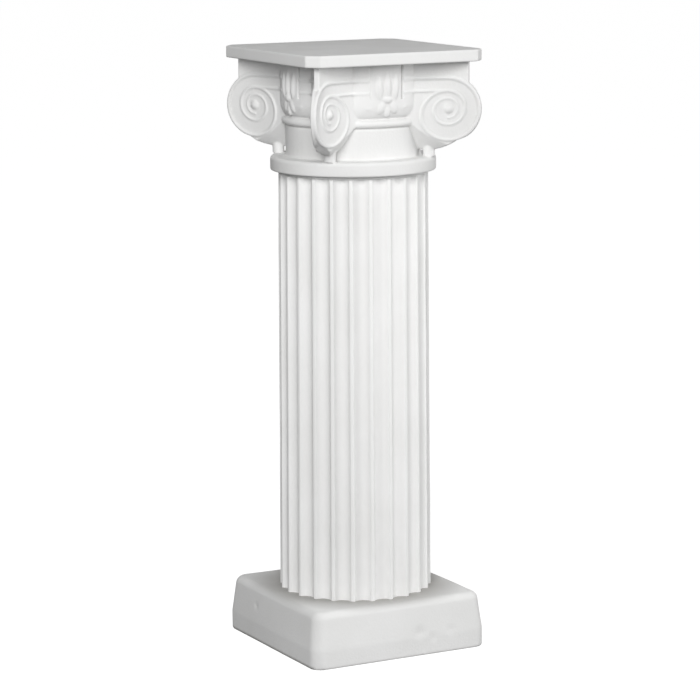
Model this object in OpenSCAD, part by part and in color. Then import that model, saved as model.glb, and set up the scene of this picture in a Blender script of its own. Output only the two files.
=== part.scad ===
// Ionic display column in three castings: a square plinth, a fluted shaft and
// a four-volute capital. Millimetres, +Z up, origin at the middle of the
// plinth's underside. The front is the -Y face; all four faces are alike.

/* [Overall] */
// Height of the whole column, floor to the top of the abacus
total_h = 1016; // [860:1:1300]

/* [Plinth] */
// Width of the plinth across its faces
plinth_w = 329; // [300:1:420]
// Height of the plinth
plinth_h = 95; // [70:1:130]
// Radius of its upright corners
plinth_corner_r = 20; // [8:0.5:30]
// Height of the upright lower part of its sides
plinth_upright_h = 32; // [10:1:50]
// How far the sides lean in above that
plinth_lean = 7; // [0:0.5:14]
// Radius of the shoulder under the flat top
plinth_shoulder_r = 12; // [4:0.5:16]

/* [Shaft] */
// Diameter over the fillets at the foot
shaft_foot_d = 259; // [214:0.5:290]
// Diameter over the fillets at the top
shaft_top_d = 252; // [215:0.5:260]
// Number of flutes
flutes = 24; // [16:2:28]
// Flat fillet left between two flutes at the foot
fillet_w = 6; // [3:0.5:10]
// Depth of a flute below the fillets
flute_depth = 9; // [5:0.5:12]
// How far the shaft is turned on the plinth, in degrees
shaft_turn = 7.5; // [-7.5:0.5:7.5]

/* [Capital, turned parts] */
// Height of the whole capital
capital_h = 210; // [200:1:254]
// Diameter of the collar at its foot
collar_d = 279; // [270:0.5:310]
// Height of the collar's band
collar_h = 24; // [16:0.5:28]
// Height of the narrow seat ring under the collar
seat_ring_h = 6; // [3:0.5:10]
// Diameter of the seat ring
seat_ring_d = 246; // [230:0.5:250]
// Diameter of the neck
neck_d = 227; // [210:0.5:240]
// Height of the bead's middle above the capital's underside
bead_z = 90; // [84:0.5:96]
// Radius of the bead's half-round
bead_r = 5.5; // [3:0.5:8]
// How far the echinus swells out from the neck
echinus_swell = 8; // [3:0.5:12]

/* [Capital, volutes] */
// Width of the abacus across its faces
abacus_w = 329; // [315:1:380]
// Thickness of the abacus
abacus_t = 20; // [12:0.5:26]
// Width of the flat cut across each corner of the abacus
corner_cut = 26; // [10:1:40]
// Radius of the hollow sweep of each side in plan
side_sweep_r = 235; // [225:1:260]
// Distance from the axis to the deepest point of that sweep
side_depth = 103.5; // [96:0.5:112]
// Diameter of a volute
volute_d = 110; // [91:1:116]
// Distance from the axis to the outermost point of a volute, on the diagonal
volute_reach = 223; // [215:0.5:227]
// Height of a volute's middle above the capital's underside
volute_z = 111; // [106:0.5:116]
// Distance from the axis to the corner of the bed under the abacus
bed_reach = 201; // [190:0.5:210]
// Depth of the spiral channel
channel_depth = 2.5; // [1:0.25:3]
// Radius of the button at the eye of a volute
eye_r = 9; // [6:0.5:11]
// Height of the foot of the tail under a volute, above the capital's underside
tail_z = 41; // [38:0.5:46]
// Radius of the round post that carries the tail down to the collar
post_r = 10; // [7:0.5:12]

/* [Capital, ornament] */
// Radius of a petal of the ornament in the middle of each side
petal_r = 8; // [6:0.25:9]
// Distance from the axis to the ornament's petals
petal_v = 116; // [112:0.5:120]

/* [Hidden] */
$fn = 64;

// the shaft stands between the plinth and the capital
shaft_h = total_h - plinth_h - capital_h;
shaft_z = plinth_h;
capital_z = plinth_h + shaft_h;
shaft_foot_r = shaft_foot_d / 2;
shaft_top_r = shaft_top_d / 2;
through = 1; // how far a cutting shape runs past the face it cuts

// a flute is the arc of a circle through its two edges and its deepest point
flute_pitch = PI * shaft_foot_d / flutes;
flute_w = flute_pitch - fillet_w;
flute_r = (pow(flute_w / 2, 2) + pow(flute_depth, 2)) / (2 * flute_depth);
flute_edge_drop = shaft_foot_r - sqrt(pow(shaft_foot_r, 2) - pow(flute_w / 2, 2));
flute_axis_in = flute_depth - flute_r + flute_edge_drop; // inside the fillets' circle
shaft_lean = atan((shaft_foot_r - shaft_top_r) / shaft_h);

// levels and radii of the capital, above its own underside
collar_r = collar_d / 2;
neck_r = neck_d / 2;
collar_top = seat_ring_h + collar_h;
abacus_z = capital_h - abacus_t;
bead_top = bead_z + bead_r;
volute_r = volute_d / 2;
volute_x = volute_reach - volute_r;
sweep_y = side_depth + side_sweep_r;

// the tail's underside is an arc that starts on the neck and ends on the volute
tail_r = 1.6 * volute_r;
tail_x = neck_r + 14;
tail_mid_z = tail_z + tail_r;
tail_half_w = 36;
tail_full_z = bead_z - 6;
tail_taper = 0.75;
post_x = neck_r + 18.5; // the post's axis, from the column's axis

// the spiral: an equiangular curve that winds in towards the eye
spiral_start = 96;      // direction of its outer end, just past the top
spiral_turns = 1.75;
spiral_outer_r = volute_r - 7;
spiral_inner_r = eye_r + 6;
spiral_steps = 28;
channel_share = 0.27;   // width of the channel, as a share of its radius

// ---------------------------------------------------------------- helpers

// profile points of a quarter round, centre c, radius r, from angle a to b
function arc(c, r, a, b, n = 6) =
    [for (i = [0:n]) let (t = a + (b - a) * i / n) [c.x + r * cos(t), c.y + r * sin(t)]];

function spiral_radius(k) =
    spiral_outer_r * pow(spiral_inner_r / spiral_outer_r, k / spiral_steps);

function spiral_point(k, share) =
    let (t = spiral_start - 360 * spiral_turns * k / spiral_steps, r = spiral_radius(k) * share)
    [r * cos(t), r * sin(t)];

// half width of a volute's tail at height z
function tail_width(z) =
    tail_half_w * pow(max(0, z - tail_z) / (tail_full_z - tail_z), tail_taper);

// stands a drawing of (distance from the axis, height) on the +X axis and
// gives it a thickness across that axis
module across(width) {
    rotate([90, 0, 0])
        translate([0, 0, -width / 2])
            linear_extrude(height = width)
                children();
}

module on_diagonals() {
    for (a = [45:90:315])
        rotate([0, 0, a])
            children();
}

module on_sides() {
    for (a = [0:90:270])
        rotate([0, 0, a])
            children();
}

// a round bar with ball ends, from point a to point b
module lobe(a, b, r) {
    d = b - a;
    length = norm(d);
    turn = atan2(d.y, d.x);
    tip = acos(d.z / length);
    translate(a)
        rotate([0, tip, turn]) {
            cylinder(h = length, r = r);
            sphere(r = r);
            translate([0, 0, length])
                sphere(r = r);
        }
}

// ---------------------------------------------------------------- plinth

module plinth_corner_post() {
    lean_end_z = plinth_h - plinth_shoulder_r;
    lean_end_r = plinth_corner_r - plinth_lean * (lean_end_z - plinth_upright_h) / (plinth_h - plinth_upright_h);
    shoulder_mid = [lean_end_r - plinth_shoulder_r, lean_end_z];
    rotate_extrude($fn = 40)
        intersection() {
            polygon(concat(
                [[-plinth_corner_r, plinth_h], [-plinth_corner_r, 0]],
                [[plinth_corner_r, 0], [plinth_corner_r, plinth_upright_h]],
                arc(shoulder_mid, plinth_shoulder_r, 0, 90)));
            square([2 * plinth_corner_r, plinth_h]);
        }
}

module plinth() {
    post = plinth_w / 2 - plinth_corner_r;
    color("whitesmoke")
        hull()
            for (x = [-post, post], y = [-post, post])
                translate([x, y, 0])
                    plinth_corner_post();
}

// ---------------------------------------------------------------- shaft

module flute() {
    translate([shaft_foot_r - flute_axis_in, 0, 0])
        rotate([0, -shaft_lean, 0])
            translate([0, 0, -shaft_h * 0.05])
                cylinder(h = shaft_h * 1.1, r = flute_r);
}

module shaft() {
    color("white")
        translate([0, 0, shaft_z])
            rotate([0, 0, shaft_turn])
                difference() {
                    cylinder(h = shaft_h, r1 = shaft_foot_r, r2 = shaft_top_r, $fn = 96);
                    for (i = [0:flutes - 1])
                        rotate([0, 0, 360 * i / flutes])
                            flute();
                }
}

// ---------------------------------------------------------------- capital

// seat ring, collar, neck, bead and echinus, all turned about the axis
module turned_core() {
    edge_r = collar_h / 4;
    echinus_h = abacus_z - bead_top;
    rotate_extrude($fn = 96)
        polygon(concat(
            [[0, 0], [seat_ring_d / 2, 0], [seat_ring_d / 2, seat_ring_h]],
            arc([collar_r - edge_r / 2, seat_ring_h + edge_r / 2], edge_r / 2, -90, 0, 3),
            arc([collar_r - edge_r, collar_top - edge_r], edge_r, 0, 90, 4),
            [[neck_r, collar_top], [neck_r, bead_z - bead_r]],
            arc([neck_r, bead_z], bead_r, -90, 90, 8),
            [for (i = [0:8]) let (t = 180 * i / 8)
                [neck_r + echinus_swell * sin(t / 2), bead_top + 2 + (echinus_h - 2) * i / 8]],
            [[0, abacus_z]]));
}

// the four sides in plan, swept in between the corners
module swept_block() {
    difference() {
        translate([-volute_reach, -volute_reach, 0])
            cube([2 * volute_reach, 2 * volute_reach, capital_h]);
        sweeps(side_sweep_r);
    }
}

module sweeps(r) {
    on_sides()
        translate([sweep_y, 0, -through])
            cylinder(h = capital_h + 2 * through, r = r, $fn = 128);
}

// side view of one corner: bed under the abacus, volute, and tail below it
module corner_outline() {
    difference() {
        union() {
            translate([volute_x, volute_z])
                circle(r = volute_r);
            translate([neck_r * 0.6, volute_z])
                square([bed_reach - neck_r * 0.6, abacus_z - volute_z]);
            intersection() {
                translate([tail_x, tail_mid_z])
                    circle(r = tail_r, $fn = 96);
                translate([neck_r * 0.6, tail_z])
                    square([volute_x + volute_r / 2 - neck_r * 0.6, volute_z - tail_z]);
            }
        }
        // the small hollow between the bed's corner and the volute
        translate([bed_reach, abacus_z])
            square([volute_reach, 2 * capital_h]);
    }
}

// end view of one corner: the tail narrows to a point on the neck
module tail_outline() {
    steps = 8;
    levels = [for (i = [0:steps]) tail_z + (tail_full_z - tail_z) * pow(i / steps, 1.5)];
    right = [for (z = levels) [tail_width(z), z]];
    left = [for (i = [steps:-1:1]) [-tail_width(levels[i]), levels[i]]];
    polygon(concat(right, [[80, tail_full_z + 20], [80, abacus_z], [-80, abacus_z], [-80, tail_full_z + 20]], left));
}

module corner() {
    intersection() {
        across(200)
            corner_outline();
        rotate([90, 0, 90])
            linear_extrude(height = volute_reach + through)
                tail_outline();
    }
}

// round posts from the collar's ledge up into the tails
module posts() {
    on_diagonals()
        translate([post_x, 0, collar_top - through])
            cylinder(h = tail_z + 2 * post_r - collar_top, r = post_r);
}

// the channel between two turns of the scroll
module channel_outline() {
    outer = [for (k = [0:spiral_steps]) spiral_point(k, 1)];
    inner = [for (k = [spiral_steps:-1:0]) spiral_point(k, 1 - channel_share)];
    translate([volute_x, volute_z])
        polygon(concat(outer, inner));
}

module channels() {
    intersection() {
        sweeps(side_sweep_r + channel_depth);
        on_diagonals()
            across(160)
                channel_outline();
    }
}

// a button at the eye, on each of the two faces of every volute
module eyes() {
    // where the side's sweep crosses the upright line through the volute's middle
    reach = sweep_y * cos(45) - volute_x;
    face_h = sweep_y * sin(45) - sqrt(pow(side_sweep_r, 2) - pow(reach, 2));
    sunk = eye_r * 0.62;
    on_diagonals()
        for (side = [-1, 1])
            translate([volute_x, side * (face_h - sunk), volute_z])
                sphere(r = eye_r);
}

// the ornament in the middle of a side: petals above a knot, lobes below it
module ornament() {
    knot_z = (bead_top + abacus_z) / 2 - 6;
    side_step = 2.05 * petal_r;
    top_z = abacus_z - 2.2 * petal_r;
    foot_z = bead_top + 1.4 * petal_r;
    v = petal_v;
    for (s = [-1, 0, 1])
        lobe([v, s * side_step * 0.8, knot_z + petal_r], [v, s * side_step, top_z - abs(s) * 4], petal_r);
    translate([v + 1, 0, knot_z])
        sphere(r = petal_r * 1.2);
    for (s = [-1, 1]) {
        lobe([v - 1, s * petal_r * 0.9, foot_z], [v, s * petal_r, knot_z - petal_r * 0.6], petal_r);
        lobe([v - 5, s * petal_r * 3.4, foot_z + 5], [v - 2, s * petal_r * 1.8, knot_z - 2], petal_r * 0.85);
    }
}

module abacus() {
    cut = abacus_w / sqrt(2) - corner_cut / 2; // from the axis to the cut corner
    translate([0, 0, abacus_z])
        linear_extrude(height = abacus_t)
            intersection() {
                square(abacus_w, center = true);
                rotate(45)
                    square(2 * cut, center = true);
            }
}

module capital() {
    color("snow")
        translate([0, 0, capital_z]) {
            difference() {
                intersection() {
                    swept_block();
                    on_diagonals()
                        corner();
                }
                channels();
            }
            turned_core();
            posts();
            on_sides()
                ornament();
            eyes();
            abacus();
        }
}

plinth();
shaft();
capital();
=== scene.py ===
# %% [markdown]
# # A white Ionic display column
#
# The real column is taken to be three hollow castings, painted matt white: a square plinth, a shaft
# with 24 flutes, and a capital with four volutes under a flat slab, the abacus. The frame brings the
# three castings in as plain solids of the right size. Each one is then modelled again here at
# full detail, in the same place, and stands for its plain solid.

# %% Load the frame and read the three castings' boxes
import math

import bpy
import numpy as np
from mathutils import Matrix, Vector


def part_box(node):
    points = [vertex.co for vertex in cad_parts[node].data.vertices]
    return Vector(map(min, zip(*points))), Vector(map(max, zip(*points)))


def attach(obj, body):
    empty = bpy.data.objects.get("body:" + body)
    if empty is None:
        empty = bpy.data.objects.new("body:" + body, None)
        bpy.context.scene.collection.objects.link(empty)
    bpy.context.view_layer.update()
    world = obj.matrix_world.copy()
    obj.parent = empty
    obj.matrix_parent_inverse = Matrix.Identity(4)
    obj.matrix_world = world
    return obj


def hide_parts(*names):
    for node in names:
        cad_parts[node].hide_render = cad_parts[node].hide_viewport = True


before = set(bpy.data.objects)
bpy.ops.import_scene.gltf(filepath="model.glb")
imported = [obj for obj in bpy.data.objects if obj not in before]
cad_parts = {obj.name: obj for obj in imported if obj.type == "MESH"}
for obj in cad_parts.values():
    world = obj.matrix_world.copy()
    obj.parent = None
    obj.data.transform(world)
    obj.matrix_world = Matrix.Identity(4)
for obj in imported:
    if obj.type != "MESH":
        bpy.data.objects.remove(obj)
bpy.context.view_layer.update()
plinth_lo, plinth_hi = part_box("plinth")
shaft_lo, shaft_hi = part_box("shaft")
capital_lo, capital_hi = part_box("capital")
print("plinth", plinth_lo[:], plinth_hi[:])
print("shaft", shaft_lo[:], shaft_hi[:])
print("capital", capital_lo[:], capital_hi[:])

# %% [markdown]
# ## The camera
#
# A long lens from almost five metres away keeps the column's upright lines nearly parallel, as a
# catalogue picture does. It stands a little above the middle of the column and to its left, so the
# front face is seen broad and the left face narrow.

# %% Camera
def beside(azimuth, elevation):
    """The direction from the column to a place round it. Azimuth 0 is straight in front, at -Y."""
    a = math.radians(azimuth)
    e = math.radians(elevation)
    return Vector((math.sin(a) * math.cos(e), -math.cos(a) * math.cos(e), math.sin(e)))


camera_azimuth = -28.16
camera_elevation = 9.56
camera_distance = 4.948
lens_length = 149.74
camera_roll = -0.33
middle = Vector((0, 0, 0.526))

away = beside(camera_azimuth, camera_elevation)
right = beside(camera_azimuth + 90, 0)
up = away.cross(right)
camera_place = middle + away * camera_distance
aim = middle - right * 0.0071 - up * 0.0237

camera_data = bpy.data.cameras.new("camera")
camera_data.lens = lens_length
camera_data.sensor_width = 36
camera = bpy.data.objects.new("camera", camera_data)
bpy.context.scene.collection.objects.link(camera)
camera.location = camera_place
level = (aim - camera_place).to_track_quat("-Z", "Y")
camera.rotation_euler = level.to_euler()
camera.rotation_euler.rotate_axis("Z", math.radians(camera_roll))
bpy.context.scene.camera = camera
print("camera at", [round(c, 3) for c in camera.location])

# %% [markdown]
# ## Light, floor and background
#
# Two softboxes stand in front, a strong one to the left and a weaker one to the right. Neither is
# much higher than the column, so upright faces are brighter than level ones and the left face falls
# off into a soft grey. The world fills the rest with weak even light, and the camera sees it as
# white. The floor is a diffuse sheet that glows for the camera alone, up to the background's white.
# No lamp stands behind, so the back of the column is dim.

# %% World
world = bpy.data.worlds.new("studio")
bpy.context.scene.world = world
world.use_nodes = True
world_nodes = world.node_tree.nodes
world_links = world.node_tree.links
world_nodes.clear()
path = world_nodes.new("ShaderNodeLightPath")
seen = world_nodes.new("ShaderNodeMath")
seen.operation = "MAXIMUM"
seen_more = world_nodes.new("ShaderNodeMath")
seen_more.operation = "MAXIMUM"
fill = world_nodes.new("ShaderNodeBackground")
fill.inputs["Color"].default_value = (1, 1, 1, 1)
fill.inputs["Strength"].default_value = 0.18
white = world_nodes.new("ShaderNodeBackground")
white.inputs["Color"].default_value = (1, 1, 1, 1)
white.inputs["Strength"].default_value = 1
either = world_nodes.new("ShaderNodeMixShader")
world_out = world_nodes.new("ShaderNodeOutputWorld")
world_links.new(path.outputs["Is Camera Ray"], seen.inputs[0])
world_links.new(path.outputs["Is Glossy Ray"], seen.inputs[1])
world_links.new(seen.outputs[0], seen_more.inputs[0])
world_links.new(path.outputs["Is Transmission Ray"], seen_more.inputs[1])
world_links.new(seen_more.outputs[0], either.inputs[0])
world_links.new(fill.outputs[0], either.inputs[1])
world_links.new(white.outputs[0], either.inputs[2])
world_links.new(either.outputs[0], world_out.inputs["Surface"])
bpy.context.scene.view_settings.view_transform = "Standard"
print("world", world.name)

# %% Softboxes
lamp_side = 1.4
lamp_distance = 3.2


def softbox(name, azimuth, elevation, power):
    """A square lamp round the column, above its middle and aimed at it."""
    data = bpy.data.lights.new(name, "AREA")
    data.shape = "SQUARE"
    data.size = lamp_side
    data.energy = power
    lamp = bpy.data.objects.new(name, data)
    bpy.context.scene.collection.objects.link(lamp)
    target = Vector((0, 0, 0.5))
    lamp.location = target + beside(azimuth, elevation) * lamp_distance
    lamp.rotation_euler = (target - lamp.location).to_track_quat("-Z", "Y").to_euler()


softbox("left softbox", azimuth=-35, elevation=26, power=79)
softbox("right softbox", azimuth=56, elevation=15, power=44)


# %% Helpers for modelling
def nothing_selected():
    """Leaves edit mode and deselects all objects, the frame's among them."""
    if bpy.context.object and bpy.context.object.mode == "EDIT":
        bpy.ops.object.mode_set(mode="OBJECT")
    bpy.ops.object.select_all(action="DESELECT")


def take(piece):
    """Makes a piece the only selected and active object."""
    nothing_selected()
    piece.select_set(True)
    bpy.context.view_layer.objects.active = piece


def settle(piece):
    """Puts a piece's place, turn and size into its mesh, so that its object sits at the origin."""
    take(piece)
    bpy.ops.object.transform_apply(location=True, rotation=True, scale=True)
    return piece


def edit(piece, everything=False):
    """Opens a piece in edit mode with all of it, or none of it, selected."""
    take(piece)
    bpy.ops.object.mode_set(mode="EDIT")
    bpy.ops.mesh.select_mode(type="VERT")
    bpy.ops.mesh.select_all(action="SELECT" if everything else "DESELECT")


def done():
    """Leaves edit mode."""
    bpy.ops.object.mode_set(mode="OBJECT")


def pick(piece, test, part="vertices"):
    """Selects the vertices or edges that pass a test, from inside edit mode, and counts them."""
    bpy.ops.mesh.select_mode(type="EDGE" if part == "edges" else "VERT")
    bpy.ops.mesh.select_all(action="DESELECT")
    bpy.ops.object.mode_set(mode="OBJECT")
    mesh = piece.data
    count = 0
    for element in getattr(mesh, part):
        if part == "edges":
            a, b = (mesh.vertices[i].co for i in element.vertices)
            chosen = test(a, b)
        else:
            chosen = test(element.co)
        element.select = bool(chosen)
        count += bool(chosen)
    bpy.ops.object.mode_set(mode="EDIT")
    return count


def finish_with(piece, kind, **settings):
    """Adds a modifier with these settings and applies it."""
    take(piece)
    modifier = piece.modifiers.new(kind.lower(), kind)
    for name, value in settings.items():
        setattr(modifier, name, value)
    bpy.ops.object.modifier_apply(modifier=modifier.name)


def triangles_of(piece):
    """How many triangles a piece's faces make."""
    return sum(len(p.vertices) - 2 for p in piece.data.polygons)


def tell(piece):
    """Prints a piece's size in millimetres and its triangles."""
    co = np.array([v.co for v in piece.data.vertices])
    size = (co.max(0) - co.min(0)) * 1000
    foot_z = round(co[:, 2].min() * 1000, 1)
    print(piece.name, "size", size.round(1), "from z", foot_z, "triangles", triangles_of(piece))


# %% Floor
nothing_selected()
bpy.ops.mesh.primitive_plane_add(size=60, location=(0, 0, 0))
floor = bpy.context.object
floor.name = "floor"
sheet = bpy.data.materials.new("pale floor")
sheet.use_nodes = True
floor_nodes = sheet.node_tree.nodes
floor_links = sheet.node_tree.links
floor_nodes.clear()
matt = floor_nodes.new("ShaderNodeBsdfDiffuse")
matt.inputs["Color"].default_value = (0.32, 0.32, 0.32, 1)
glow = floor_nodes.new("ShaderNodeEmission")
glow.inputs["Color"].default_value = (1, 1, 1, 1)
glow.inputs["Strength"].default_value = 0.94
floor_path = floor_nodes.new("ShaderNodeLightPath")
none = floor_nodes.new("ShaderNodeEmission")
none.inputs["Strength"].default_value = 0
camera_only = floor_nodes.new("ShaderNodeMixShader")
both = floor_nodes.new("ShaderNodeAddShader")
floor_out = floor_nodes.new("ShaderNodeOutputMaterial")
floor_links.new(floor_path.outputs["Is Camera Ray"], camera_only.inputs[0])
floor_links.new(none.outputs[0], camera_only.inputs[1])
floor_links.new(glow.outputs[0], camera_only.inputs[2])
floor_links.new(matt.outputs[0], both.inputs[0])
floor_links.new(camera_only.outputs[0], both.inputs[1])
floor_links.new(both.outputs[0], floor_out.inputs["Surface"])
floor.data.materials.append(sheet)
print("floor", floor.dimensions[:])

# %% [markdown]
# ## The plinth
#
# The real plinth is a square block with soft upright corners. Its sides stand upright at the foot,
# then lean in a little to a rounded shoulder under the flat top. It starts as a cube. One level cut
# splits the sides where the lean begins, the top is drawn in, and two bevels round the corners and
# the shoulder. A fine grid and a soft cloud then make the faces slightly uneven, as a casting is.

# %% Plinth block, lean and bevels
width = plinth_hi.x - plinth_lo.x
height = plinth_hi.z - plinth_lo.z
lean_starts = 0.032
lean = 0.007
corner_round = 0.020
shoulder_round = 0.012

nothing_selected()
bpy.ops.mesh.primitive_cube_add(size=1, location=(0, 0, height / 2), scale=(width, width, height))
plinth = bpy.context.object
plinth.name = "plinth_cast"
settle(plinth)
edit(plinth, everything=True)
bpy.ops.mesh.bisect(plane_co=(0, 0, lean_starts), plane_no=(0, 0, 1))
pick(plinth, lambda co: co.z > height - 0.001)
draw_in = 1 - 2 * lean / width
bpy.ops.transform.resize(value=(draw_in, draw_in, 1), center_override=(0, 0, height))
upright = pick(plinth, lambda a, b: abs(a.z - b.z) > 0.01, "edges")
bpy.ops.mesh.bevel(offset=corner_round, offset_type="OFFSET", segments=10, profile=0.5)
shoulder = pick(plinth, lambda a, b: a.z > height - 0.0001 and b.z > height - 0.0001, "edges")
bpy.ops.mesh.bevel(offset=shoulder_round, offset_type="OFFSET", segments=8, profile=0.5)
foot_edges = pick(plinth, lambda a, b: a.z < 0.0001 and b.z < 0.0001, "edges")
bpy.ops.mesh.bevel(offset=0.0015, offset_type="OFFSET", segments=3, profile=0.5)
done()
print("corner edges", upright, "shoulder edges", shoulder, "foot edges", foot_edges)
tell(plinth)

# %% Plinth surface
soft_cloud = bpy.data.textures.new("casting unevenness", "CLOUDS")
soft_cloud.noise_scale = 0.09
soft_cloud.noise_depth = 1
finish_with(plinth, "REMESH", mode="VOXEL", voxel_size=0.0026)
finish_with(plinth, "DISPLACE", texture=soft_cloud, strength=0.0009, mid_level=0.6, texture_coords="LOCAL")
tell(plinth)

# %% [markdown]
# The real plinth has faint marks low on its front and one on its left side. They are taken for
# shallow knocks. Each is one point of the surface pushed in, with its neighbours following. The foot
# is made flat again first, so that the column stands on all of it.

# %% Plinth foot and knocks
def dent(piece, place, push, reach):
    """Pushes the surface in at the vertex nearest to a place."""
    co = np.array([v.co for v in piece.data.vertices])
    nearest = int(((co - np.array(place)) ** 2).sum(1).argmin())
    edit(piece)
    bpy.ops.object.mode_set(mode="OBJECT")
    piece.data.vertices[nearest].select = True
    bpy.ops.object.mode_set(mode="EDIT")
    bpy.ops.transform.translate(
        value=push, use_proportional_edit=True, proportional_edit_falloff="SMOOTH", proportional_size=reach)
    done()


edit(plinth)
pick(plinth, lambda co: co.z < 0.0008)
bpy.ops.transform.resize(value=(1, 1, 0), center_override=(0, 0, 0))
done()
half = width / 2
dent(plinth, (0.035, -half, 0.040), (0, 0.0016, 0), 0.016)
dent(plinth, (0.062, -half, 0.030), (0, 0.0012, 0.0004), 0.012)
dent(plinth, (0.095, -half, 0.037), (0, 0.0010, 0), 0.014)
dent(plinth, (-half, 0.060, 0.060), (0.0012, 0, 0), 0.010)
settle(plinth)
tell(plinth)

# %% [markdown]
# ## The shaft
#
# The shaft is a tapered cylinder with 24 hollow flutes and narrow flat fillets between them. A
# single point is drawn out into the plan of one flute and one fillet, that plan is repeated round the
# axis, and the closed outline is drawn up to the height of the shaft while it shrinks to the top.
# This keeps every arris straight and clean, which cutting 24 hollows out of a cylinder wouldn't. Each
# end stops a hair short of its neighbour, so that no two castings share a face.

# %% Shaft plan
def point_at(name, place):
    """A mesh of one point, from a small plane merged at its middle."""
    nothing_selected()
    bpy.ops.mesh.primitive_plane_add(size=0.01, location=(0, 0, 0))
    piece = bpy.context.object
    piece.name = name
    edit(piece, everything=True)
    bpy.ops.mesh.merge(type="CENTER")
    bpy.ops.transform.translate(value=place)
    return piece


flutes = 24
foot_radius = 0.1295
top_radius = 0.126
fillet = 0.006
depth = 0.009
turned = math.radians(7.5)
pitch = 2 * math.pi / flutes
flute_half = (2 * math.pi * foot_radius / flutes - fillet) / 2
flute_radius = (flute_half ** 2 + depth ** 2) / (2 * depth)
chord_at = math.sqrt(foot_radius ** 2 - flute_half ** 2)
flute_middle = chord_at - depth + flute_radius
half_arc = math.asin(flute_half / flute_radius)
edge_turn = math.asin(flute_half / foot_radius)
end_gap = 0.00005
base_z = shaft_lo.z + end_gap

shaft = point_at("shaft_cast", (chord_at, -flute_half, base_z))
bpy.ops.mesh.spin(steps=12, angle=2 * half_arc, center=(flute_middle, 0, base_z), axis=(0, 0, 1))
bpy.ops.mesh.spin(steps=2, angle=pitch - 2 * edge_turn, center=(0, 0, base_z), axis=(0, 0, -1))
done()
plan = np.array([v.co for v in shaft.data.vertices])
reach = np.hypot(plan[:, 0], plan[:, 1])
print("flute plan points", len(plan), "radii", (reach.min() * 1000).round(2), (reach.max() * 1000).round(2))

# %% Shaft outline
edit(shaft, everything=True)
bpy.ops.mesh.spin(steps=flutes, dupli=True, angle=2 * math.pi, center=(0, 0, base_z), axis=(0, 0, 1))
bpy.ops.mesh.select_all(action="SELECT")
bpy.ops.mesh.remove_doubles(threshold=0.0001)


def on_arris(co):
    """True at the two edges of a fillet."""
    within = math.atan2(co.y, co.x) % pitch
    return min(abs(within - edge_turn), abs(within - pitch + edge_turn)) < math.radians(0.1)


arrises = pick(shaft, on_arris)
bpy.ops.mesh.bevel(affect="VERTICES", offset=0.0012, segments=3)
bpy.ops.mesh.select_all(action="SELECT")
bpy.ops.transform.rotate(value=-turned, orient_axis="Z", center_override=(0, 0, 0))
done()
print("arris points", arrises, "outline points", len(shaft.data.vertices), "edges", len(shaft.data.edges))

# %% Shaft height, taper and ends
shaft_height = shaft_hi.z - shaft_lo.z - 2 * end_gap
edit(shaft, everything=True)
bpy.ops.mesh.extrude_region_move(TRANSFORM_OT_translate={"value": (0, 0, shaft_height)})
shrink = top_radius / foot_radius
bpy.ops.transform.resize(value=(shrink, shrink, 1), center_override=(0, 0, 0))
pick(shaft, lambda a, b: abs(a.z - b.z) > 0.1, "edges")
bpy.ops.mesh.subdivide(number_cuts=47)
for end in (base_z, base_z + shaft_height):
    pick(shaft, lambda a, b: abs(a.z - end) < 0.001 and abs(b.z - end) < 0.001, "edges")
    bpy.ops.mesh.edge_face_add()
bpy.ops.mesh.select_all(action="SELECT")
bpy.ops.mesh.normals_make_consistent(inside=False)
done()
slow_cloud = bpy.data.textures.new("shaft unevenness", "CLOUDS")
slow_cloud.noise_scale = 0.11
slow_cloud.noise_depth = 1
finish_with(shaft, "DISPLACE", texture=slow_cloud, strength=0.0009, mid_level=0.5, texture_coords="LOCAL")
tell(shaft)

# %% [markdown]
# ## The capital
#
# The capital is one casting: a turned core with a collar, a bead and a swelling echinus; four
# corners, each a pair of volutes back to back; a small leaf ornament in the middle of each side; and
# the abacus over it all. The parts are modelled one by one as closed shapes that run into each other.
# A voxel remesh at the end melts them into one skin, with the small soft fillets that a mould and a
# few coats of paint leave, as on the real one.

# %% Drawing a line point by point
foot = capital_lo.z


def draw(name, points):
    """A line drawn out from point to point, as with the extrude key."""
    piece = point_at(name, points[0])
    for here, there in zip(points, points[1:]):
        bpy.ops.mesh.extrude_region_move(TRANSFORM_OT_translate={"value": Vector(there) - Vector(here)})
    return piece


def arc(middle, radius, start, stop, steps):
    """Points of an arc in the plan of radius and height."""
    turns = [math.radians(start + (stop - start) * i / steps) for i in range(steps + 1)]
    return [(middle[0] + radius * math.cos(t), middle[1] + radius * math.sin(t)) for t in turns]


# %% Turned core
core_radius = 0.1135
echinus_radius = core_radius + 0.0078
groove_radius = core_radius - 0.0012

profile = [(0, 0), (0.123, 0), (0.123, 0.006)]
profile += arc((0.1370, 0.0085), 0.0025, -90, 0, 4)
profile += arc((0.1335, 0.0240), 0.0060, 0, 90, 6)
profile += arc((core_radius + 0.003, 0.0330), 0.003, 270, 180, 4)
profile += [(core_radius, 0.050), (core_radius, 0.068), (core_radius, 0.0800)]
profile += [(groove_radius, 0.0818), (groove_radius, 0.0834)]
profile += arc((core_radius, 0.0900), 0.0062, -88, 88, 12)
profile += [(groove_radius, 0.0968), (groove_radius, 0.0990)]
for i in range(2, 11):
    swell = (echinus_radius - core_radius) * math.sin(math.radians(9 * i))
    profile.append((core_radius + swell, 0.0992 + 0.0240 * (i / 10) ** 1.3))
profile += [(echinus_radius, 0.150), (echinus_radius, 0.191), (0, 0.191)]
core = draw("core", [(r, 0, foot + z) for r, z in profile])
bpy.ops.mesh.select_all(action="SELECT")
bpy.ops.mesh.spin(steps=192, angle=2 * math.pi, center=(0, 0, foot), axis=(0, 0, 1))
bpy.ops.mesh.select_all(action="SELECT")
bpy.ops.mesh.remove_doubles(threshold=0.00005)
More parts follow.
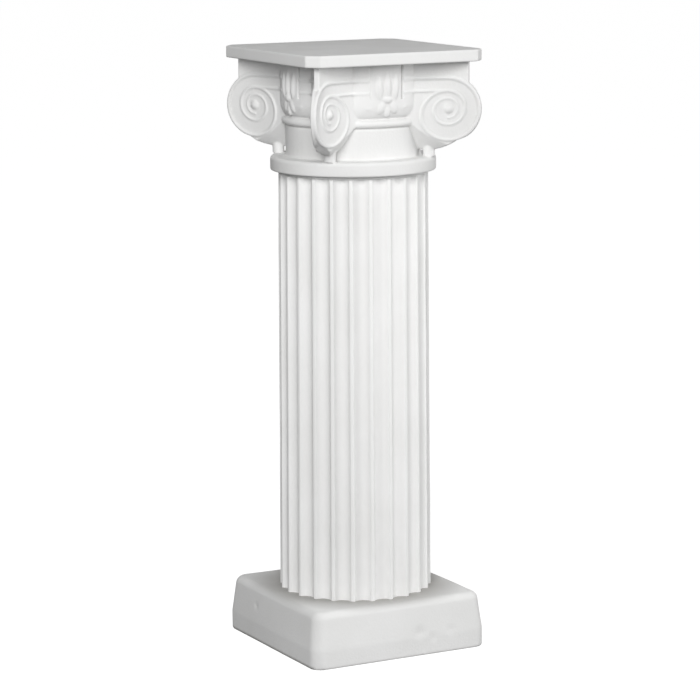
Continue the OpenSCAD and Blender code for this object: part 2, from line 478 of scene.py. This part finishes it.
bpy.ops.mesh.normals_make_consistent(inside=False)
done()
tell(core)

# %% Cutting one shape with another
def cut(piece, tool, how="DIFFERENCE"):
    """Cuts, joins or crosses a piece with a tool, and removes the tool."""
    finish_with(piece, "BOOLEAN", operation=how, object=tool, solver="EXACT")
    bpy.data.objects.remove(tool)


def cylinder(name, radius, depth, place, lying=False, sides=128):
    """A cylinder standing at a place, or lying along Y."""
    nothing_selected()
    turn = (math.radians(90), 0, 0) if lying else (0, 0, 0)
    bpy.ops.mesh.primitive_cylinder_add(
        vertices=sides, radius=radius, depth=depth, location=place, rotation=turn)
    piece = bpy.context.object
    piece.name = name
    return settle(piece)


def block(name, low, high):
    """A box between two corners."""
    nothing_selected()
    low = Vector(low)
    high = Vector(high)
    bpy.ops.mesh.primitive_cube_add(size=1, location=(low + high) / 2, scale=high - low)
    piece = bpy.context.object
    piece.name = name
    return settle(piece)


# %% [markdown]
# An upright slot parts the ornament from the fillets on each side of it. The one to the right of the
# ornament is the wider and the deeper of the two.

# %% Slots beside the ornament
for turn in (0, 90, 180, 270):
    for slot_x, half_wide, bottom in ((-0.0295, 0.0013, -0.1165), (0.0295, 0.0022, -0.1120)):
        low = (slot_x - half_wide, -0.130, foot + 0.130)
        high = (slot_x + half_wide, bottom, foot + 0.188)
        slot = block("slot", low, high)
        slot.rotation_euler = (0, 0, math.radians(turn))
        settle(slot)
        cut(core, slot)
tell(core)

# %% [markdown]
# ### One corner
#
# Seen along the abacus, a corner is a round volute on a diagonal of the column, with a bed above it
# and a tail below it that runs down to a point on the neck. All four sides of the capital are hollow
# sweeps, so a corner is a thick slab bitten into by two large upright cylinders. It is made on the
# +X axis, where its own middle plane is easy to work in, and turned to its diagonal afterwards.

# %% Volute, bed and tail
volute_at = 0.168
volute_z = foot + 0.111
rim = 0.055
fillet_thick = 0.0035
sunk = 0.003

corner = cylinder("corner", rim - sunk, 0.200, (volute_at, 0, volute_z), lying=True)
bed = block("bed", (0.068, -0.105, volute_z), (0.201, 0.105, foot + 0.1905))
tail = cylinder("tail", 0.088, 0.220, (0.1275, 0, foot + 0.129), lying=True, sides=192)
edit(tail, everything=True)
trims = (
    ((0, 0, volute_z), (0, 0, 1)),
    ((0.1955, 0, 0), (1, 0, 0)),
    ((0.070, 0, 0), (-1, 0, 0)))
for place, normal in trims:
    bpy.ops.mesh.select_all(action="SELECT")
    bpy.ops.mesh.bisect(plane_co=place, plane_no=normal, use_fill=True, clear_outer=True)
done()
cut(corner, bed, "UNION")
cut(corner, tail, "UNION")
tell(corner)

# %% [markdown]
# The tail narrows to a point as it comes down, so the corner is crossed with a plate in the outline
# of a spade. A short round post under the tail carries it down to the collar.

# %% The tail's outline and its post
tail_foot = 0.041
tail_rise = 0.043
levels = [tail_foot + tail_rise * (i / 8) ** 1.5 for i in range(9)]
right_edge = [(0.036 * ((z - tail_foot) / tail_rise) ** 0.75, z) for z in levels]
right_edge += [(0.080, 0.104), (0.080, 0.195)]
left_edge = [(-y, z) for y, z in reversed(right_edge[1:])]
spade = draw("spade", [(0.050, y, foot + z) for y, z in right_edge + left_edge])
bpy.ops.mesh.select_all(action="SELECT")
bpy.ops.mesh.edge_face_add()
bpy.ops.mesh.extrude_region_move(TRANSFORM_OT_translate={"value": (0.200, 0, 0)})
bpy.ops.mesh.select_all(action="SELECT")
bpy.ops.mesh.normals_make_consistent(inside=False)
done()
cut(corner, spade, "INTERSECT")
tell(corner)
post = cylinder("post", 0.010, 0.028, (0.132, 0, foot + 0.044), sides=64)
tell(post)

# %% The two hollow sides
sweep_radius = 0.235
sweep_off = 0.3385 / math.sqrt(2)
for side in (-1, 1):
    sweep = cylinder("sweep", sweep_radius + sunk, 0.5, (sweep_off, side * sweep_off, foot + 0.1), sides=384)
    cut(corner, sweep)
tell(corner)

# %% [markdown]
# ### The scroll
#
# A mason draws a volute with a compass, half a turn at a time, each from a new centre and with a
# smaller opening. The scroll is drawn in the same way here: a point is led along the upper fillet of
# the side, then spun half a turn about each centre in turn. The line gets thickness as a curve
# does, thinning towards the eye, and is then laid on the hollow side of the corner.

# %% Laying a shape on the hollow side
def side_at(x):
    """How far the side's surface is from a corner's middle plane, or the core where that is further."""
    hollow = sweep_off - math.sqrt((sweep_radius + sunk) ** 2 - (sweep_off - x) ** 2)
    round_core = math.sqrt(max(0, echinus_radius ** 2 - x ** 2))
    return max(hollow, round_core)


def lay_on_side(piece):
    """Moves a flat shape out from the middle plane until it lies on the hollow side."""
    for vertex in piece.data.vertices:
        vertex.co.y += side_at(vertex.co.x)
    piece.data.update()


def thicken(piece, start, stop):
    """Turns a drawn line into a round bar that thins from start to stop."""
    take(piece)
    bpy.ops.object.convert(target="CURVE")
    piece.data.bevel_depth = 1
    piece.data.bevel_resolution = 3
    piece.data.use_fill_caps = True
    points = piece.data.splines[0].points
    for i, point in enumerate(points):
        point.radius = start + (stop - start) * i / (len(points) - 1)
    bpy.ops.object.convert(target="MESH")


# %% Scroll and lower fillet
fillet_starts = 0.1065
outer_turn = rim - fillet_thick
lower_turn = 0.030


def level_line(height):
    """Points from the ornament to above the eye, level, at a height over the eye."""
    reach = volute_at - fillet_starts
    return [(fillet_starts + reach * i / 16, 0, volute_z + height) for i in range(17)]


scroll = draw("scroll", level_line(outer_turn))
heights = [outer_turn, -outer_turn, lower_turn, -0.026, 0.0175, -0.015]
for here, there in zip(heights, heights[1:]):
    middle = (volute_at, 0, volute_z + (here + there) / 2)
    bpy.ops.mesh.spin(steps=28, angle=math.pi, center=middle, axis=(0, -1, 0))
done()
scroll_co = np.array([v.co for v in scroll.data.vertices])
scroll_x = (scroll_co[:, 0] * 1000).round(1)
print("scroll", len(scroll_co), "points, x", scroll_x.min(), "to", scroll_x.max())
thicken(scroll, fillet_thick, 0.0017)
lay_on_side(scroll)

lower = draw("lower fillet", level_line(lower_turn))
done()
thicken(lower, 0.0026, 0.0026)
lay_on_side(lower)
tell(scroll)

# %% Button at the eye
nothing_selected()
eye_place = (volute_at, side_at(volute_at) - 0.004, volute_z)
bpy.ops.mesh.primitive_uv_sphere_add(segments=48, ring_count=24, radius=0.009, location=eye_place)
eye = settle(bpy.context.object)
eye.name = "eye"
tell(eye)


# %% The other side of the corner, and the other three corners
def copy_of(piece):
    """A copy with a mesh of its own."""
    twin = piece.copy()
    twin.data = piece.data.copy()
    bpy.context.scene.collection.objects.link(twin)
    return twin


def join(name, pieces):
    """Makes one object of several."""
    nothing_selected()
    for piece in pieces:
        piece.select_set(True)
    bpy.context.view_layer.objects.active = pieces[0]
    bpy.ops.object.join()
    joined = bpy.context.object
    joined.name = name
    joined.data.name = name
    return joined


def turned_copy(piece, degrees):
    """A copy turned about the column's axis."""
    twin = copy_of(piece)
    twin.rotation_euler = (0, 0, math.radians(degrees))
    return settle(twin)


relief = join("relief", [scroll, lower, eye])
far_relief = copy_of(relief)
far_relief.scale = (1, -1, 1)
settle(far_relief)
for piece in (relief, far_relief):
    edit(piece, everything=True)
    bpy.ops.mesh.normals_make_consistent(inside=False)
    done()
corner = join("corner", [corner, post, relief, far_relief])
corners = [turned_copy(corner, turn) for turn in (45, 135, 225, 315)]
bpy.data.objects.remove(corner)
tell(corners[0])

# %% [markdown]
# ### The leaf ornament
#
# In the middle of each side three upright petals stand over a round knot. Small leaves lie below
# it, two to each side and one in the middle. They are small and softened by paint on the real
# column, so each one is a sphere stretched, narrowed towards one end and tipped into place. The
# remesh blends them into the core behind.

# %% Petals and leaves
def petal(place, sizes, tip=0, narrow=1.0):
    """A stretched sphere whose upper end is drawn in, tipped sideways by a few degrees."""
    nothing_selected()
    bpy.ops.mesh.primitive_uv_sphere_add(segments=32, ring_count=20, radius=1, location=(0, 0, 0))
    piece = bpy.context.object
    edit(piece)
    pick(piece, lambda co: co.z > 0.99)
    bpy.ops.transform.resize(
        value=(narrow, narrow, 1), center_override=(0, 0, 0),
        use_proportional_edit=True, proportional_edit_falloff="SMOOTH", proportional_size=1.6)
    done()
    piece.scale = sizes
    settle(piece)
    piece.rotation_euler = (0, math.radians(tip), 0)
    piece.location = place
    return settle(piece)


def on_front(across, out, up_from_foot):
    """A place by the front side, out from the axis and up from the capital's foot."""
    return (across, -out, foot + up_from_foot)


leaves = [petal(on_front(0, 0.1190, 0.153), (0.0066, 0.0075, 0.026), narrow=0.8)]
for side in (-1, 1):
    side_petal = on_front(side * 0.0155, 0.1175, 0.151)
    upper_leaf = on_front(side * 0.0105, 0.1178, 0.1190)
    outer_leaf = on_front(side * 0.0270, 0.1142, 0.1160)
    leaves.append(petal(side_petal, (0.0064, 0.0072, 0.024), tip=side * 4, narrow=0.8))
    leaves.append(petal(upper_leaf, (0.0075, 0.0046, 0.0130), tip=side * -24))
    leaves.append(petal(outer_leaf, (0.0120, 0.0034, 0.0060), tip=side * -14))
leaves.append(petal(on_front(0, 0.1190, 0.131), (0.0090, 0.0065, 0.0075)))
leaves.append(petal(on_front(0, 0.1180, 0.112), (0.0058, 0.0040, 0.0110)))
ornament = join("ornament", leaves)
tell(ornament)
ornaments = [turned_copy(ornament, turn) for turn in (0, 90, 180, 270)]
bpy.data.objects.remove(ornament)

# %% Abacus
half_side = capital_hi.x
corner_cut = 0.026
abacus_foot = foot + 0.190
abacus_top = foot + 0.210
abacus = block("abacus", (-half_side, -half_side, abacus_foot), (half_side, half_side, abacus_top))
edit(abacus, everything=True)
for turn in (45, 135, 225, 315):
    out = Vector((math.cos(math.radians(turn)), math.sin(math.radians(turn)), 0))
    bpy.ops.mesh.select_all(action="SELECT")
    cut_at = out * (half_side * math.sqrt(2) - corner_cut / 2)
    bpy.ops.mesh.bisect(plane_co=cut_at, plane_no=out, use_fill=True, clear_outer=True)
bpy.ops.mesh.select_all(action="SELECT")
bpy.ops.mesh.bevel(offset=0.0022, offset_type="OFFSET", segments=3, profile=0.5)
done()
tell(abacus)

# %% [markdown]
# ### Melting the casting into one skin
#
# The remesh works on a grid of small cubes, so it keeps what is larger than a few cubes and softens
# what is sharper. The flat faces come out with far more faces than they need, so a decimate then
# takes most of them away where the surface is flat and leaves them on the scrolls and leaves.

# %% One skin
capital = join("capital_cast", [core] + corners + ornaments + [abacus])
grain = 0.0013
most_triangles = 190000
finish_with(capital, "REMESH", mode="VOXEL", voxel_size=grain)
finish_with(capital, "SMOOTH", factor=0.5, iterations=2)
tell(capital)
if triangles_of(capital) > most_triangles:
    finish_with(capital, "DECIMATE", ratio=most_triangles / triangles_of(capital))
tell(capital)

# %% [markdown]
# ## The finish
#
# All three castings wear matt white paint, in a slightly different white each. It isn't one flat
# white. Slow patches differ a little where the coats are thicker, the hollows are greyed partly by
# dust and partly by painted shade, and a fine grain breaks up the surface. On the plinth, painted
# shade also darkens the top round the shaft and draws a dark line along the foot of the left side.

# %% Paint
def link(material, start, end):
    """Joins an output to an input."""
    material.node_tree.links.new(start, end)


def blend_colour(material, amount, under, over):
    """Lays one colour on another by an amount from 0 to 1."""
    node = material.node_tree.nodes.new("ShaderNodeMix")
    node.data_type = "RGBA"
    link(material, amount, node.inputs[0])
    for value, socket in ((under, node.inputs[6]), (over, node.inputs[7])):
        if isinstance(value, tuple):
            socket.default_value = value
        else:
            link(material, value, socket)
    return node.outputs[2]


def fade(material, value, zero_at, one_at):
    """0 at one value and 1 at another, and even between them."""
    ramp = material.node_tree.nodes.new("ShaderNodeMapRange")
    ramp.inputs["From Min"].default_value = zero_at
    ramp.inputs["From Max"].default_value = one_at
    link(material, value, ramp.inputs["Value"])
    return ramp.outputs["Result"]


def patches(material, scale, low, high, detail=3.0):
    """Noise on the piece's own coordinates, stretched so that low becomes 0 and high becomes 1."""
    nodes = material.node_tree.nodes
    where = nodes.new("ShaderNodeTexCoord")
    noise = nodes.new("ShaderNodeTexNoise")
    noise.inputs["Scale"].default_value = scale
    noise.inputs["Detail"].default_value = detail
    link(material, where.outputs["Object"], noise.inputs["Vector"])
    return fade(material, noise.outputs["Fac"], low, high)


def scaled(material, value, factor):
    """A value times a number or times another value."""
    node = material.node_tree.nodes.new("ShaderNodeMath")
    node.operation = "MULTIPLY"
    link(material, value, node.inputs[0])
    if isinstance(factor, float):
        node.inputs[1].default_value = factor
    else:
        link(material, factor, node.inputs[1])
    return node.outputs[0]


def hollows(material):
    """1 in the hollows of the shape and 0 on its flats and edges; the paint greys these with dust and
    painted shade.
    """
    geometry = material.node_tree.nodes.new("ShaderNodeNewGeometry")
    return fade(material, geometry.outputs["Pointiness"], 0.50, 0.44)


def plinth_painted_shade(material):
    """Where painted shade darkens the plinth: on its top round the shaft's foot, and along the foot of its
    left side.
    """
    nodes = material.node_tree.nodes
    where = nodes.new("ShaderNodeTexCoord")
    flat = nodes.new("ShaderNodeVectorMath")
    flat.operation = "MULTIPLY"
    flat.inputs[1].default_value = (1, 1, 0)
    away = nodes.new("ShaderNodeVectorMath")
    away.operation = "LENGTH"
    parts = nodes.new("ShaderNodeSeparateXYZ")
    link(material, where.outputs["Object"], flat.inputs[0])
    link(material, flat.outputs["Vector"], away.inputs[0])
    link(material, where.outputs["Object"], parts.inputs[0])
    # Painted shade: the top darkens towards the shaft's foot, as a contact shadow would.
    beside_shaft = fade(material, away.outputs["Value"], 0.190, 0.130)
    on_top = fade(material, parts.outputs["Z"], 0.085, 0.094)
    # Painted shade: a dark line along the foot of the left side alone, the side turned from the light.
    low_down = fade(material, parts.outputs["Z"], 0.0065, 0.0015)
    left_side = fade(material, parts.outputs["X"], -0.1600, -0.1630)
    return scaled(material, beside_shaft, on_top), scaled(material, low_down, left_side)


def white_paint(name, tone, hollow_dust_and_shade, grain_depth, plinth_shade_amount=0.0):
    """Matt white paint of one tone, with dust and painted shade in its hollows and a grain of one depth."""
    material = bpy.data.materials.new(name)
    material.use_nodes = True
    nodes = material.node_tree.nodes
    paint = nodes["Principled BSDF"]
    light_tone = (tone, tone, tone * 0.995, 1)
    thin_tone = (tone * 0.955, tone * 0.955, tone * 0.945, 1)
    # The hollows darken to this tone, partly with dust and partly with painted shade.
    dust_and_shade_tone = (tone * 0.72, tone * 0.71, tone * 0.69, 1)
    # The plinth's painted shade darkens to this tone.
    painted_shade_tone = (tone * 0.42, tone * 0.41, tone * 0.39, 1)
    slow = patches(material, 9, 0.35, 0.65)
    colour = blend_colour(material, slow, light_tone, thin_tone)
    # Dust and painted shade in the hollows, found from the surface's pointiness.
    dust_and_shade = scaled(material, hollows(material), hollow_dust_and_shade)
    colour = blend_colour(material, dust_and_shade, colour, dust_and_shade_tone)
    fine = patches(material, 420, 0.3, 0.7)
    colour = blend_colour(material, scaled(material, fine, 0.10), colour, thin_tone)
    # Painted shade on the plinth, round the shaft's foot and along the foot of the left side.
    if plinth_shade_amount > 0:
        for place in plinth_painted_shade(material):
            plinth_shade = scaled(material, place, plinth_shade_amount)
            colour = blend_colour(material, plinth_shade, colour, painted_shade_tone)
    link(material, colour, paint.inputs["Base Color"])
    shine = nodes.new("ShaderNodeMapRange")
    shine.inputs["To Min"].default_value = 0.56
    shine.inputs["To Max"].default_value = 0.74
    link(material, patches(material, 30, 0.3, 0.7), shine.inputs["Value"])
    link(material, shine.outputs["Result"], paint.inputs["Roughness"])
    paint.inputs["Specular IOR Level"].default_value = 0.3
    bump = nodes.new("ShaderNodeBump")
    bump.inputs["Strength"].default_value = 0.35
    bump.inputs["Distance"].default_value = grain_depth
    link(material, patches(material, 260, 0.2, 0.8, detail=5.0), bump.inputs["Height"])
    link(material, bump.outputs["Normal"], paint.inputs["Normal"])
    return material


capital_paint = white_paint("capital paint", tone=0.785, hollow_dust_and_shade=0.5, grain_depth=0.0006)
shaft_paint = white_paint("shaft paint", tone=0.88, hollow_dust_and_shade=0.35, grain_depth=0.0005)
plinth_paint = white_paint("plinth paint", tone=0.82, hollow_dust_and_shade=0.4, grain_depth=0.0006, plinth_shade_amount=0.9)
print("paints", [m.name for m in bpy.data.materials if m.name.endswith("paint")])

# %% Give each casting its finish and its place
for piece, node, slot, paint in (
        (plinth, "plinth", "plinth_cast", plinth_paint),
        (shaft, "shaft", "shaft_cast", shaft_paint),
        (capital, "capital", "capital_cast", capital_paint)):
    piece.data.materials.clear()
    piece.data.materials.append(paint)
    take(piece)
    bpy.ops.object.shade_smooth_by_angle(angle=math.radians(40))
    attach(piece, "root")
    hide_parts(node)
    tell(piece)
